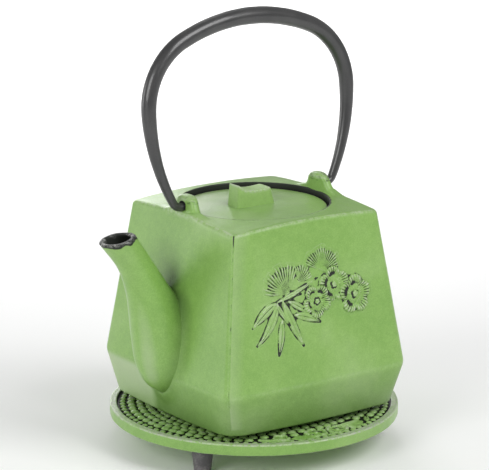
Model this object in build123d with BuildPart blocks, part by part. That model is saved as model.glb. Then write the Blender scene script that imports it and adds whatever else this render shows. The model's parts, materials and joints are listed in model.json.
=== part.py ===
"""Cast iron teapot with a swinging bail handle, a lid over a steel infuser, and its round trivet.

Frame: the origin is on the pot's vertical axis at the level of the trivet's feet, +Z up. The spout points
along -X, the two handle lugs stand on the X axis, and the decorated face of the pot looks along -Y.
"""
import os
from math import asin, atan2, cos, degrees, pi, radians, sin, sqrt

from build123d import *

os.makedirs("parts", exist_ok=True)

# ------------------------------------------------------------------ driving dimensions, mm
# Fits between pieces
seat_gap = 0.1  # between two pieces where one only rests on the other
hinge_clearance = 0.08  # radial, handle end in its lug hole
screw_clearance = 0.05  # radial, screw in the lid and in the knob
lid_clearance = 1.2  # radial, lid in the mouth of the pot
infuser_clearance = 1.0  # radial, infuser inside the ledge
flange_clearance = 0.8  # radial, infuser flange in the mouth
skirt_clearance = 0.5  # radial, lid skirt in the infuser

# Trivet: a round cast plate with a rim and a sunk field of studs, on three rubber feet
trivet_radius = 75.0
trivet_thickness = 6.0
rim_width = 3.6
groove_width = 1.2
groove_depth = 1.8
stud_drop = 0.2  # the tips of the studs stand this far below the rim
foot_count = 3
foot_height = 14.0
foot_radius = 5.6
foot_tip_radius = 3.8
foot_inset = 12.0  # of a foot's centre from the trivet's edge
foot_first_angle = -150.0
foot_stem_radius = 2.5
foot_stem_length = 3.0

# Pot: a square body, widest at a crease near its foot, with a round mouth in a domed shoulder
base_half_width = 52.8
base_bow = 2.7
base_corner_radius = 12.0
crease_half_width = 56.3
crease_bow = 1.4
crease_corner_radius = 4.5
top_half_width = 45.2
top_bow = 0.4
top_corner_radius = 2.2
foot_ring_height = 3.0
foot_ring_inset = 8.8  # of the ring from the middle of a base edge
foot_ring_width = 5.0
crease_height = 21.3  # from the base of the faces
body_height = 101.7  # from the base of the faces to the top corners
shoulder_rise = 1.9  # from the top corners to the mouth
wall = 3.5
floor_thickness = 4.0
shoulder_thickness = 7.0
mouth_land = 6.5  # from the mouth's rim to the middle of a top edge
ledge_width = 4.1

# Spout: (distance beyond the crease, height as a share of the faces' height, radius) down its middle
spout_line = (
    (-3.3, 0.108, 5.0),
    (1.1, 0.192, 9.6),
    (2.3, 0.295, 12.0),
    (3.5, 0.423, 12.9),
    (6.7, 0.560, 12.1),
    (11.5, 0.688, 10.2),
    (18.5, 0.821, 8.4),
    (27.7, 0.949, 8.7),
    (34.7, 1.042, 9.2),
)
spout_wall = 2.6
spout_channel_start = 2  # the channel begins at this point of spout_line
spout_mouth_index = 7  # the mouth is cut through this point of spout_line
spout_mouth_tilt = 10.0  # degrees, leaning outward

# Lugs: two upright tabs flush with the spout face and the face opposite
lug_height = 9.2  # above the mouth's rim
lug_base_half_width = 11.5
lug_top_half_width = 4.6
lug_thickness = 6.0
lug_hole_wall = 1.6  # left at the blind end of the hole
hinge_drop = 6.0  # from the top of a lug to the hinge axis

# Bail handle: a tapered round bar, bent to a horseshoe, with its two ends turned in
bail_end_radius = 2.4
bail_leg_radius = 3.95  # at the widest point
bail_crown_radius = 4.5
bail_steps = 14
bail_lean = 4.5  # degrees, where the bail stands at rest, back from upright
bail_bulge = 17.25  # from a lug's face to the widest point of a leg
bail_shoulder_height = 49.6  # of the widest point above the hinge axis
bail_height = 91.8
crown_bend_radius = 100.0
leg_bend_radius = 100.0
end_bend_radius = 5.0

# Lid, knob and screw
lid_drop = 1.9  # the lid's edge below the mouth's rim
lid_edge_thickness = 3.0
lid_dome = 0.6
lid_land_radius = 15.0  # the flat middle of the lid, under the knob
skirt_depth = 5.0
skirt_thickness = 2.4
knob_length = 23.0
knob_width = 11.0
knob_high_end = 12.4
knob_middle = 8.4
knob_low_end = 7.8
knob_high_taper = 1.0
knob_low_taper = 2.4
knob_offset = 2.0  # from the lid's centre towards the spout
screw_radius = 2.0
screw_depth = 5.0  # into the knob
screw_head_radius = 4.0
screw_head_height = 2.2

# Infuser: a steel basket that hangs by its flange from the ledge in the mouth
flange_thickness = 0.8
collar_depth = 6.0
collar_thickness = 0.6
mesh_thickness = 0.5
infuser_depth = 46.0
base_cup_height = 3.0
base_cup_thickness = 0.6

# ------------------------------------------------------------------ heights and radii that follow
foot_circle_radius = trivet_radius - foot_inset
rim_height = foot_height + trivet_thickness
stud_height = rim_height - stud_drop
base_height = stud_height + seat_gap + foot_ring_height
crease_z = base_height + crease_height
corner_z = base_height + body_height
mouth_z = corner_z + shoulder_rise
mouth_radius = top_half_width - mouth_land
foot_ring_radius = base_half_width - foot_ring_inset
lid_edge_z = mouth_z - lid_drop
lid_under_z = lid_edge_z - lid_edge_thickness
flange_top_z = lid_under_z - seat_gap
ledge_z = flange_top_z - flange_thickness - seat_gap
ledge_radius = mouth_radius - ledge_width
cavity_top = mouth_z - shoulder_thickness - 2.0
lug_top = mouth_z + lug_height
hinge_z = lug_top - hinge_drop
face_slope = (crease_half_width - top_half_width) / (corner_z - crease_z)
blank_top = lug_top + 2.0


def face_reach(height):
    """Distance from the axis to the middle of an upper face's edge line, at a height."""
    return crease_half_width - face_slope * (height - crease_z)


def square_outline(height, half_width, bow, corner_radius):
    """A level face at a height: a square with bowed sides and round corners."""
    corners = [(-half_width, -half_width), (half_width, -half_width)]
    corners += [(half_width, half_width), (-half_width, half_width)]
    middles = [(0, -half_width - bow), (half_width + bow, 0)]
    middles += [(0, half_width + bow), (-half_width - bow, 0)]
    with BuildSketch(Plane.XY.offset(height)) as outline:
        with BuildLine():
            for index, middle in enumerate(middles):
                ThreePointArc(corners[index], middle, corners[(index + 1) % 4])
        make_face()
        fillet(outline.vertices(), corner_radius)
    return outline.sketch


def body_sections(inset):
    """Level faces at the base, the crease and the top, moved in from the outside by inset."""
    top = blank_top if inset == 0 else cavity_top
    bottom = base_height if inset == 0 else base_height + floor_thickness
    return (
        square_outline(bottom, base_half_width - inset, base_bow, base_corner_radius),
        square_outline(crease_z, crease_half_width - inset, crease_bow, crease_corner_radius),
        square_outline(top, face_reach(top) - inset, top_bow, top_corner_radius),
    )


def spout_point(index):
    """A point of the spout's middle line, in the part's frame."""
    beyond, share, _ = spout_line[index]
    return Vector(-crease_half_width - beyond, 0, base_height + share * body_height)


def spout_plane(index):
    """Plane across the spout at a point of spout_line, square to its middle line."""
    last = len(spout_line) - 1
    along = spout_point(min(index + 1, last)) - spout_point(max(index - 1, 0))
    return Plane(origin=spout_point(index), x_dir=(0, 1, 0), z_dir=along)


# ------------------------------------------------------------------ trivet
pad_radius = trivet_radius - rim_width - groove_width
foot_places = PolarLocations(foot_circle_radius, foot_count, start_angle=foot_first_angle)

with BuildPart() as trivet_plate:
    with BuildSketch(Plane.XY.offset(foot_height)):
        Circle(trivet_radius)
    extrude(amount=trivet_thickness)
    fillet(trivet_plate.edges().filter_by(GeomType.CIRCLE), 0.8)
    with BuildSketch(Plane.XY.offset(rim_height)):
        Circle(pad_radius + groove_width)
        Circle(pad_radius, mode=Mode.SUBTRACT)
    extrude(amount=-groove_depth, mode=Mode.SUBTRACT)
    with BuildSketch(Plane.XY.offset(stud_height)):
        Circle(pad_radius + groove_width / 2)
    extrude(amount=trivet_thickness, mode=Mode.SUBTRACT)
    with BuildSketch(Plane.XY.offset(foot_height)):
        with foot_places:
            Circle(foot_stem_radius)
    extrude(amount=foot_stem_length + seat_gap, mode=Mode.SUBTRACT)
trivet_plate.part.label = "trivet_plate"
export_step(trivet_plate.part, "parts/trivet_plate.step")

for number, place in enumerate(foot_places.local_locations, start=1):
    with BuildPart() as trivet_foot:
        with BuildSketch(Plane(origin=place.position, x_dir=(1, 0, 0), z_dir=(0, -1, 0))):
            with BuildLine():
                Polyline(
                    (0, 0),
                    (foot_tip_radius, 0),
                    (foot_tip_radius + 0.5, 0.5),
                )
                ThreePointArc(
                    (foot_tip_radius + 0.5, 0.5),
                    (foot_radius - 0.35, 0.55 * foot_height),
                    (foot_radius, foot_height),
                )
                Polyline(
                    (foot_radius, foot_height),
                    (foot_stem_radius, foot_height),
                    (foot_stem_radius, foot_height + foot_stem_length),
                    (0, foot_height + foot_stem_length),
                    (0, 0),
                )
            make_face()
        revolve(axis=Axis(place.position, (0, 0, 1)))
    trivet_foot.part.label = f"trivet_foot_{number}"
    export_step(trivet_foot.part, f"parts/trivet_foot_{number}.step")

# ------------------------------------------------------------------ pot
# The blank is the body before its shoulder is cut, tall enough to hold the two lugs.
with BuildPart() as blank:
    base_face, crease_face, top_face = body_sections(0)
    loft(sections=[base_face, crease_face], ruled=True)
    loft(sections=[crease_face, top_face], ruled=True)

with BuildPart() as lugs:
    add(blank.part)
    with BuildSketch(Plane.YZ):
        with BuildLine():
            foot_z = mouth_z - 1.0
            neck_y = lug_top_half_width + 1.6
            for side in (-1, 1):
                Polyline(
                    (0, mouth_z - shoulder_thickness),
                    (side * lug_base_half_width, mouth_z - shoulder_thickness),
                    (side * lug_base_half_width, foot_z),
                )
                ThreePointArc(
                    (side * lug_base_half_width, foot_z),
                    (side * (neck_y + 1.2), foot_z + 0.38 * lug_height),
                    (side * neck_y, foot_z + 0.7 * lug_height),
                )
                ThreePointArc(
                    (side * neck_y, foot_z + 0.7 * lug_height),
                    (side * lug_top_half_width * 0.72, lug_top - 0.5),
                    (0, lug_top),
                )
        make_face()
    extrude(amount=2 * crease_half_width, both=True, mode=Mode.INTERSECT)
    with BuildSketch(Plane.XZ):
        with Locations((0, mouth_z)):
            Rectangle(2 * (face_reach(mouth_z) - lug_thickness), 4 * lug_height)
    extrude(amount=2 * crease_half_width, both=True, mode=Mode.SUBTRACT)

with BuildPart() as spout:
    for index in range(len(spout_line)):
        with BuildSketch(spout_plane(index)):
            Circle(spout_line[index][2])
    loft()
    mouth_plane = Plane(
        origin=spout_point(spout_mouth_index),
        x_dir=(0, 1, 0),
        z_dir=(-sin(radians(spout_mouth_tilt)), 0, cos(radians(spout_mouth_tilt))),
    )
    split(bisect_by=mouth_plane, keep=Keep.BOTTOM)

with BuildPart() as spout_channel:
    for index in range(spout_channel_start, len(spout_line)):
        with BuildSketch(spout_plane(index)):
            Circle(spout_line[index][2] - spout_wall)
    loft()

# The casting is given as three solids that meet face to face, its spout, its floor and the rest, so that
# each follows its own hollow.
with BuildPart() as teapot_spout:
    add(spout.part)
    add(blank.part, mode=Mode.SUBTRACT)
    add(spout_channel.part, mode=Mode.SUBTRACT)
teapot_spout.part.label = "teapot_spout"
export_step(teapot_spout.part, "parts/teapot_spout.step")

with BuildPart() as shell:
    add(blank.part)
    # the domed shoulder is a cone about the pot's axis, so that each face's top edge arches up
    with BuildSketch(Plane.XZ):
        with BuildLine():
            corner_reach = sqrt(2) * top_half_width
            dome_slope = shoulder_rise / (corner_reach - mouth_radius)
            far = 2 * corner_reach
            Polyline(
                (0, mouth_z),
                (mouth_radius, mouth_z),
                (far, mouth_z - dome_slope * (far - mouth_radius)),
                (far, blank_top + 1),
                (0, blank_top + 1),
                (0, mouth_z),
            )
        make_face()
    revolve(axis=Axis.Z, mode=Mode.SUBTRACT)
    add(lugs.part)
    with BuildSketch(Plane.XY.offset(base_height)):
        Circle(foot_ring_radius)
        Circle(foot_ring_radius - foot_ring_width, mode=Mode.SUBTRACT)
    extrude(amount=-foot_ring_height)
    # the inside of the body
    floor_face, inner_crease_face, ceiling_face = body_sections(wall)
    loft(sections=[floor_face, inner_crease_face], ruled=True, mode=Mode.SUBTRACT)
    loft(sections=[inner_crease_face, ceiling_face], ruled=True, mode=Mode.SUBTRACT)
    # the mouth, with the ledge that carries the infuser
    with BuildSketch(Plane.XY.offset(mouth_z)):
        Circle(mouth_radius)
    extrude(amount=ledge_z - mouth_z, mode=Mode.SUBTRACT)
    with BuildSketch(Plane.XY.offset(mouth_z)):
        Circle(ledge_radius)
    extrude(amount=-2 * shoulder_thickness, mode=Mode.SUBTRACT)
    add(spout_channel.part, mode=Mode.SUBTRACT)
    # the blind holes in the lugs, each from the outside
    hole_start = face_reach(hinge_z) - lug_thickness + lug_hole_wall
    for plane in (Plane.YZ, Plane.YZ.rotated((0, 0, 180))):
        with BuildSketch(plane.offset(hole_start)):
            with Locations((0, hinge_z)):
                Circle(bail_end_radius + hinge_clearance)
        extrude(amount=2 * lug_thickness, mode=Mode.SUBTRACT)

floor_plane = Plane.XY.offset(base_height + floor_thickness)
with BuildPart() as teapot_floor:
    add(shell.part)
    split(bisect_by=floor_plane, keep=Keep.BOTTOM)
teapot_floor.part.label = "teapot_floor"
export_step(teapot_floor.part, "parts/teapot_floor.step")

with BuildPart() as teapot_body:
    add(shell.part)
    split(bisect_by=floor_plane, keep=Keep.TOP)
teapot_body.part.label = "teapot_body"
export_step(teapot_body.part, "parts/teapot_body.step")

# ------------------------------------------------------------------ bail handle
# Half of its middle line is three arcs: up the leg, round the shoulder and over the crown.
bail_half_width = face_reach(hinge_z) + bail_bulge
shoulder_z = hinge_z + bail_shoulder_height
crown_centre_z = hinge_z + bail_height - crown_bend_radius
crown_gap = shoulder_z - crown_centre_z
shoulder_bend_radius = (crown_bend_radius**2 - bail_half_width**2 - crown_gap**2) / (
    2 * (crown_bend_radius - bail_half_width)
)
shoulder_turn = degrees(atan2(crown_gap, bail_half_width - shoulder_bend_radius))
leg_foot_height = (
    end_bend_radius
    * (leg_bend_radius - bail_shoulder_height)
    / (leg_bend_radius - end_bend_radius)
)
leg_turn = degrees(asin((bail_shoulder_height - leg_foot_height) / leg_bend_radius))
leg_share = radians(leg_turn) * leg_bend_radius


def bail_radius(fraction, leg_fraction):
    """Radius of the bar: it grows evenly up the leg, then gently to the crown."""
    if fraction < leg_fraction:
        return bail_end_radius + (bail_leg_radius - bail_end_radius) * fraction / leg_fraction
    rise = sin(pi / 2 * (fraction - leg_fraction) / (1 - leg_fraction))
    return bail_leg_radius + (bail_crown_radius - bail_leg_radius) * rise


with BuildLine(Plane.XZ) as half_bail:
    leg_arc = CenterArc(
        (bail_half_width - leg_bend_radius, shoulder_z), leg_bend_radius, -leg_turn, leg_turn
    )
    CenterArc(
        (bail_half_width - shoulder_bend_radius, shoulder_z), shoulder_bend_radius, 0, shoulder_turn
    )
    CenterArc((0, crown_centre_z), crown_bend_radius, shoulder_turn, 90 - shoulder_turn)
half_line = half_bail.wire()
leg_fraction = leg_share / half_line.length
leg_foot_x = (leg_arc @ 0).X
pin_start_x = leg_foot_x - end_bend_radius * cos(radians(leg_turn))
pin_end_x = hole_start + 2 * hinge_clearance

with BuildPart() as bail_handle:
    for step in range(bail_steps + 1):
        share = step / bail_steps
        with BuildSketch(
            Plane(origin=half_line @ share, x_dir=(0, 1, 0), z_dir=half_line % share)
        ):
            Circle(bail_radius(share, leg_fraction))
    loft()
    # the end bend and the part that turns in the lug
    with BuildSketch(Plane.YZ.offset(pin_end_x)):
        with Locations((0, hinge_z)):
            Circle(bail_end_radius)
    extrude(amount=pin_start_x - pin_end_x)
    with BuildSketch(Plane.YZ.offset(pin_start_x)):
        with Locations((0, hinge_z)):
            Circle(bail_end_radius)
    bend_axis = Axis((pin_start_x, 0, hinge_z + end_bend_radius), (0, -1, 0))
    revolve(axis=bend_axis, revolution_arc=90 - leg_turn)
    mirror(about=Plane.YZ)

hinge_axis = Axis((0, 0, hinge_z), (1, 0, 0))
leaning_bail = bail_handle.part.rotate(hinge_axis, -bail_lean)
leaning_bail.label = "bail_handle"
export_step(leaning_bail, "parts/bail_handle.step")

# ------------------------------------------------------------------ infuser
collar_radius = ledge_radius - infuser_clearance
mesh_radius = collar_radius - collar_thickness
mesh_inner_radius = mesh_radius - mesh_thickness
infuser_bottom_z = ledge_z + seat_gap - infuser_depth

with BuildPart() as infuser_rim:
    with BuildSketch(Plane.XY.offset(flange_top_z)):
        Circle(mouth_radius - flange_clearance)
        Circle(mesh_radius, mode=Mode.SUBTRACT)
    extrude(amount=-flange_thickness)
    with BuildSketch(Plane.XY.offset(flange_top_z - flange_thickness)):
        Circle(collar_radius)
        Circle(mesh_radius, mode=Mode.SUBTRACT)
    extrude(amount=-collar_depth)
infuser_rim.part.label = "infuser_rim"
export_step(infuser_rim.part, "parts/infuser_rim.step")

with BuildPart() as infuser_mesh:
    with BuildSketch(Plane.XY.offset(infuser_bottom_z + base_cup_thickness)):
        Circle(mesh_radius)
        Circle(mesh_inner_radius, mode=Mode.SUBTRACT)
    extrude(amount=flange_top_z - infuser_bottom_z - base_cup_thickness)
infuser_mesh.part.label = "infuser_mesh"
export_step(infuser_mesh.part, "parts/infuser_mesh.step")

with BuildPart() as infuser_base:
    with BuildSketch(Plane.XY.offset(infuser_bottom_z)):
        Circle(mesh_radius + base_cup_thickness)
    extrude(amount=base_cup_height)
    with BuildSketch(Plane.XY.offset(infuser_bottom_z + base_cup_thickness)):
        Circle(mesh_radius)
    extrude(amount=base_cup_height, mode=Mode.SUBTRACT)
infuser_base.part.label = "infuser_base"
export_step(infuser_base.part, "parts/infuser_base.step")

# ------------------------------------------------------------------ lid, knob and screw
lid_radius = mouth_radius - lid_clearance
skirt_radius = mesh_inner_radius - skirt_clearance
lid_top_z = lid_edge_z + lid_dome

with BuildPart() as lid:
    with BuildSketch(Plane.XZ):
        with BuildLine():
            Polyline(
                (lid_land_radius, lid_top_z),
                (0, lid_top_z),
                (0, lid_under_z),
                (skirt_radius - skirt_thickness, lid_under_z),
                (skirt_radius - skirt_thickness, lid_under_z - skirt_depth),
                (skirt_radius, lid_under_z - skirt_depth),
                (skirt_radius, lid_under_z),
                (lid_radius, lid_under_z),
                (lid_radius, lid_edge_z),
            )
            middle_radius = (lid_radius + lid_land_radius) / 2
            ThreePointArc(
                (lid_radius, lid_edge_z),
                (middle_radius, lid_edge_z + 0.72 * lid_dome),
                (lid_land_radius, lid_top_z),
            )
        make_face()
    revolve(axis=Axis.Z)
    fillet(lid.edges().filter_by(GeomType.CIRCLE).sort_by(SortBy.RADIUS)[-2:], 0.5)
    with BuildSketch(Plane.XY.offset(lid_under_z)):
        with Locations((-knob_offset, 0)):
            Circle(screw_radius + screw_clearance)
    extrude(amount=2 * lid_edge_thickness, mode=Mode.SUBTRACT)
lid.part.label = "lid"
export_step(lid.part, "parts/lid.step")

with BuildPart() as lid_knob:
    knob_middle_place = (-knob_offset, 0, lid_top_z)
    with BuildSketch(Plane(origin=knob_middle_place, x_dir=(1, 0, 0), z_dir=(0, -1, 0))):
        with BuildLine():
            half = knob_length / 2
            Polyline(
                (-half + knob_high_taper, knob_high_end),
                (-half, 0),
                (half, 0),
                (half - knob_low_taper, knob_low_end),
            )
            ThreePointArc(
                (half - knob_low_taper, knob_low_end),
                (0, knob_middle),
                (-half + knob_high_taper, knob_high_end),
            )
        make_face()
    extrude(amount=knob_width / 2, both=True)
    fillet(lid_knob.edges().filter_by(lambda edge: edge.center().Z > lid_top_z + 1), 0.9)
    with BuildSketch(Plane(origin=knob_middle_place)):
        Circle(screw_radius + screw_clearance)
    extrude(amount=screw_depth + screw_clearance, mode=Mode.SUBTRACT)
lid_knob.part.label = "lid_knob"
export_step(lid_knob.part, "parts/lid_knob.step")

with BuildPart() as knob_screw:
    with BuildSketch(Plane.XY.offset(lid_under_z)):
        with Locations((-knob_offset, 0)):
            Circle(screw_radius)
    extrude(amount=lid_top_z - lid_under_z + screw_depth)
    with BuildSketch(Plane.XY.offset(lid_under_z)):
        with Locations((-knob_offset, 0)):
            Circle(screw_head_radius)
    extrude(amount=-screw_head_height)
    fillet(knob_screw.edges().group_by(Axis.Z)[0], 0.8)
knob_screw.part.label = "knob_screw"
export_step(knob_screw.part, "parts/knob_screw.step")
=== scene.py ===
"""Cast iron teapot with a bail handle, a round lid over a steel infuser, and its studded trivet."""

import json

import bpy
import numpy as np
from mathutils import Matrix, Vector


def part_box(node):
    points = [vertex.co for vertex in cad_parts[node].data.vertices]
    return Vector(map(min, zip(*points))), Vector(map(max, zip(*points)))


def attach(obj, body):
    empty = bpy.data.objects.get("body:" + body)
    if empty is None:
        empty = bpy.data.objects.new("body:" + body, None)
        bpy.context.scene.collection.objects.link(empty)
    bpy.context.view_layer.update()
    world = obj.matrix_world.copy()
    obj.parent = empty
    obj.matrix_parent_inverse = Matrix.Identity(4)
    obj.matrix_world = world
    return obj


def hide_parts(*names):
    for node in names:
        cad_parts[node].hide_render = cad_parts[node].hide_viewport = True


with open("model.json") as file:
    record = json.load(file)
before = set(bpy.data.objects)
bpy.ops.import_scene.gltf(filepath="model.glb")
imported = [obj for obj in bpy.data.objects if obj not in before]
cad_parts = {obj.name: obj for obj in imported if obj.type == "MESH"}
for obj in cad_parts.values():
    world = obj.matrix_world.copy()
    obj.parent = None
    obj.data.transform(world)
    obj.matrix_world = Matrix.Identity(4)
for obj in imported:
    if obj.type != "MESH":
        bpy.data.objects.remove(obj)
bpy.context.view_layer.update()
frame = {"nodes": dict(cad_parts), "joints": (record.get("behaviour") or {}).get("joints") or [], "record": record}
scene = bpy.context.scene

# ---------------------------------------------------------------- the view
# A long lens, 1.6 m away and a little above the pot, shows two faces of the square body and the corner
# between them.
camera_data = bpy.data.cameras.new("view")
camera_data.sensor_width = 36.0
camera_data.lens = 232.1
camera = bpy.data.objects.new("view", camera_data)
scene.collection.objects.link(camera)
camera.location = (-0.9131, -1.2678, 0.5261)
looks_at = Vector((-0.0040, 0.00286, 0.1082))
camera.rotation_euler = (looks_at - camera.location).to_track_quat("-Z", "Y").to_euler()
scene.camera = camera

# ---------------------------------------------------------------- the room
# A plain pale floor, a white surround and five soft panels: one before each near face, one behind that
# shines along the lid, one low behind the spout's side, and one over the floor behind.
scene.view_settings.view_transform = "Standard"
floor_reach = 12.0
floor_mesh = bpy.data.meshes.new("floor")
floor_mesh.from_pydata(
    [(sx * floor_reach, sy * floor_reach, 0) for sx, sy in ((-1, -1), (1, -1), (1, 1), (-1, 1))],
    [],
    [(0, 1, 2, 3)],
)
floor_paint = bpy.data.materials.new("floor")
floor_paint.use_nodes = True
floor_shader = floor_paint.node_tree.nodes["Principled BSDF"]
floor_shader.inputs["Base Color"].default_value = (0.95, 0.95, 0.95, 1)
floor_shader.inputs["Roughness"].default_value = 0.9
floor_mesh.materials.append(floor_paint)
floor = bpy.data.objects.new("floor", floor_mesh)
scene.collection.objects.link(floor)

surround = bpy.data.worlds.new("surround")
surround.use_nodes = True
surround.node_tree.nodes["Background"].inputs["Color"].default_value = (1.0, 1.0, 1.0, 1)
surround.node_tree.nodes["Background"].inputs["Strength"].default_value = 0.36
scene.world = surround


def soft_panel(name, place, aim_at, size, power, spread=180.0):
    """A square area light at a place, facing another place, shining through a cone of that many degrees."""
    data = bpy.data.lights.new(name, "AREA")
    data.size = size
    data.spread = np.radians(spread)
    data.energy = power
    panel = bpy.data.objects.new(name, data)
    panel.location = place
    panel.rotation_euler = (Vector(aim_at) - Vector(place)).to_track_quat("-Z", "Y").to_euler()
    scene.collection.objects.link(panel)


pot_middle = (0, 0, 0.08)
soft_panel("front_right", (0.45, -1.35, 1.35), pot_middle, 1.0, 18.5)
soft_panel("front_left", (-1.55, -0.55, 0.85), pot_middle, 0.9, 12.0)
soft_panel("behind", (0.42, 1.52, 0.48), pot_middle, 0.9, 9.0)
soft_panel("behind_left", (-1.30, 1.20, 0.30), pot_middle, 0.7, 5.0)
soft_panel("floor_behind", (0.72, 0.95, 1.30), (0.72, 0.95, 0), 0.9, 4.6, 85.0)


# ---------------------------------------------------------------- the painted iron
# One green paint covers the pot, the lid, the knob and the trivet. It is satin, brushed on over a sand-cast
# skin, darker in recesses, rubbed pale by hands and chipped to the black iron along some edges. Painted
# shade darkens it in gaps, nooks and under the crease, and a painted sheen of highlights and reflections
# makes it paler in places.
def node(tree, kind, **settings):
    """A node of a tree, with its settings and its inputs' values given by name."""
    made = tree.nodes.new(kind)
    for key, value in settings.items():
        if hasattr(made, key):
            setattr(made, key, value)
        else:
            made.inputs[key.replace("_", " ")].default_value = value
    return made


class Signal:
    """An output of a node. Signals add, subtract and multiply like numbers, each by way of a Math node."""

    def __init__(self, socket):
        self.socket, self.tree = socket, socket.id_data

    def joined(self, operation, other):
        made = node(self.tree, "ShaderNodeMath", operation=operation)
        feed(made.inputs[0], self)
        feed(made.inputs[1], other)
        return Signal(made.outputs[0])

    def __add__(self, other):
        return self.joined("ADD", other)

    def __sub__(self, other):
        return self.joined("SUBTRACT", other)

    def __mul__(self, other):
        return self.joined("MULTIPLY", other)

    __radd__, __rmul__ = __add__, __mul__


def feed(socket, value):
    """Gives a socket a number or a colour, or links a signal to it."""
    if isinstance(value, Signal):
        value.tree.links.new(value.socket, socket)
    else:
        socket.default_value = value


def clamped(signal):
    """The same sum or product, held between 0 and 1."""
    signal.socket.node.use_clamp = True
    return signal


def mixed(factor, first, second):
    """A colour between two others."""
    made = node(factor.tree, "ShaderNodeMix", data_type="RGBA")
    colour_a, colour_b = made.inputs[6], made.inputs[7]
    for socket, value in ((made.inputs[0], factor), (colour_a, first), (colour_b, second)):
        feed(socket, value)
    return Signal(made.outputs[2])


def multiplied(first, *others):
    """Colours multiplied by one another."""
    for other in others:
        made = node(first.tree, "ShaderNodeVectorMath", operation="MULTIPLY")
        feed(made.inputs[0], first)
        feed(made.inputs[1], other)
        first = Signal(made.outputs[0])
    return first


def ramped(value, low, high):
    """A signal stretched so that low becomes 0 and high becomes 1, with soft ends."""
    made = node(value.tree, "ShaderNodeMapRange", interpolation_type="SMOOTHSTEP")
    for socket, setting in (("Value", value), ("From Min", low), ("From Max", high)):
        feed(made.inputs[socket], setting)
    return Signal(made.outputs["Result"])


def noise(place, scale, detail=2.0, roughness=0.5):
    """A noise pattern in space, with its scale in features per metre."""
    made = node(place.tree, "ShaderNodeTexNoise", Scale=scale, Detail=detail, Roughness=roughness)
    feed(made.inputs["Vector"], place)
    return Signal(made.outputs["Fac"])


def new_finish(name, **inputs):
    """A node group for a finish: its tree, its inputs as signals, and the place on the object."""
    tree = bpy.data.node_groups.new(name, "ShaderNodeTree")
    for socket, value in inputs.items():
        kind = "NodeSocketColor" if isinstance(value, tuple) else "NodeSocketFloat"
        tree.interface.new_socket(socket, in_out="INPUT", socket_type=kind).default_value = value
    for socket, kind in (("Color", "Color"), ("Roughness", "Float"), ("Height", "Float")):
        tree.interface.new_socket(socket, in_out="OUTPUT", socket_type="NodeSocket" + kind)
    start = node(tree, "NodeGroupInput")
    place = Signal(node(tree, "ShaderNodeTexCoord").outputs["Object"])
    return tree, {socket: Signal(start.outputs[socket]) for socket in inputs}, place


def put_out(tree, colour, roughness, height):
    """Links a finish group's three results to its end."""
    end = node(tree, "NodeGroupOutput")
    for socket, value in (("Color", colour), ("Roughness", roughness), ("Height", height)):
        feed(end.inputs[socket], value)


# Rubbed is the colour of paint rubbed pale by hands and also of the painted sheen; Iron is the black of the ink
# and also of the painted shade in gaps and nooks.
paint, paint_in, here = new_finish(
    "paint_on_iron",
    Paint=(0.235, 0.425, 0.098, 1), Iron=(0.006, 0.009, 0.005, 1), Rubbed=(0.46, 0.55, 0.36, 1), Chips=0.9,
)
# Of these marks the first is black iron and, in gaps and nooks, painted shade; the fourth is painted shade; the
# fifth is a painted sheen of highlights and reflections.
ink_and_shade, worn, bare, painted_shade, painted_sheen = (
    Signal(node(paint, "ShaderNodeAttribute", attribute_name=mark).outputs["Fac"])
    for mark in ("ink_and_shade", "worn", "bare", "painted_shade", "painted_sheen")
)
clouds = noise(here, 22.0, 3.0)
mottle = noise(here, 260.0, 3.0, 0.6)
flakes = noise(here, 420.0, 5.0, 0.75)
scratches = noise(here, 900.0, 3.0, 0.8)
grain = noise(here, 1500.0, 4.0, 0.7)
painted = multiplied(
    mixed(ramped(clouds, 0.3, 0.7), (0.90, 0.93, 0.86, 1), (1.08, 1.05, 1.08, 1)),
    mixed(ramped(mottle, 0.3, 0.72), (0.93, 0.95, 0.91, 1), (1.05, 1.04, 1.07, 1)),
    mixed(ramped(grain, 0.3, 0.75), (0.86, 0.89, 0.84, 1), (1.12, 1.10, 1.14, 1)),
    # Painted shade: the fourth mark darkens the paint towards this dull green.
    mixed(painted_shade, (1, 1, 1, 1), (0.40, 0.44, 0.37, 1)),
    paint_in["Paint"],
)
wear_and_sheen_mask = clamped(worn * ramped(flakes, 0.36, 0.62))
# The painted sheen lightens the paint as wear does, towards the same pale colour.
wear_and_sheen_mask = clamped(wear_and_sheen_mask + (0.75 * painted_sheen + 0.16 * ramped(clouds, 0.48, 0.75)))
ink_and_shade_mask = ramped(ink_and_shade + (flakes - 0.5) * paint_in["Chips"], 0.30, 0.62)
ink_and_shade_mask = clamped(ink_and_shade_mask * ramped(ink_and_shade, 0.02, 0.12))
bare_mask = clamped(bare * ramped(scratches, 0.44, 0.60))
wear_and_sheen = mixed(wear_and_sheen_mask, painted, paint_in["Rubbed"])
put_out(
    paint,
    mixed(bare_mask, mixed(ink_and_shade_mask, wear_and_sheen, paint_in["Iron"]), (0.42, 0.42, 0.40, 1)),
    0.28 + 0.16 * mottle + 0.25 * painted_shade + 0.30 * ink_and_shade_mask + 0.10 * worn,
    0.35 * grain + 0.9 * mottle - 0.5 * ink_and_shade_mask,
)


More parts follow.
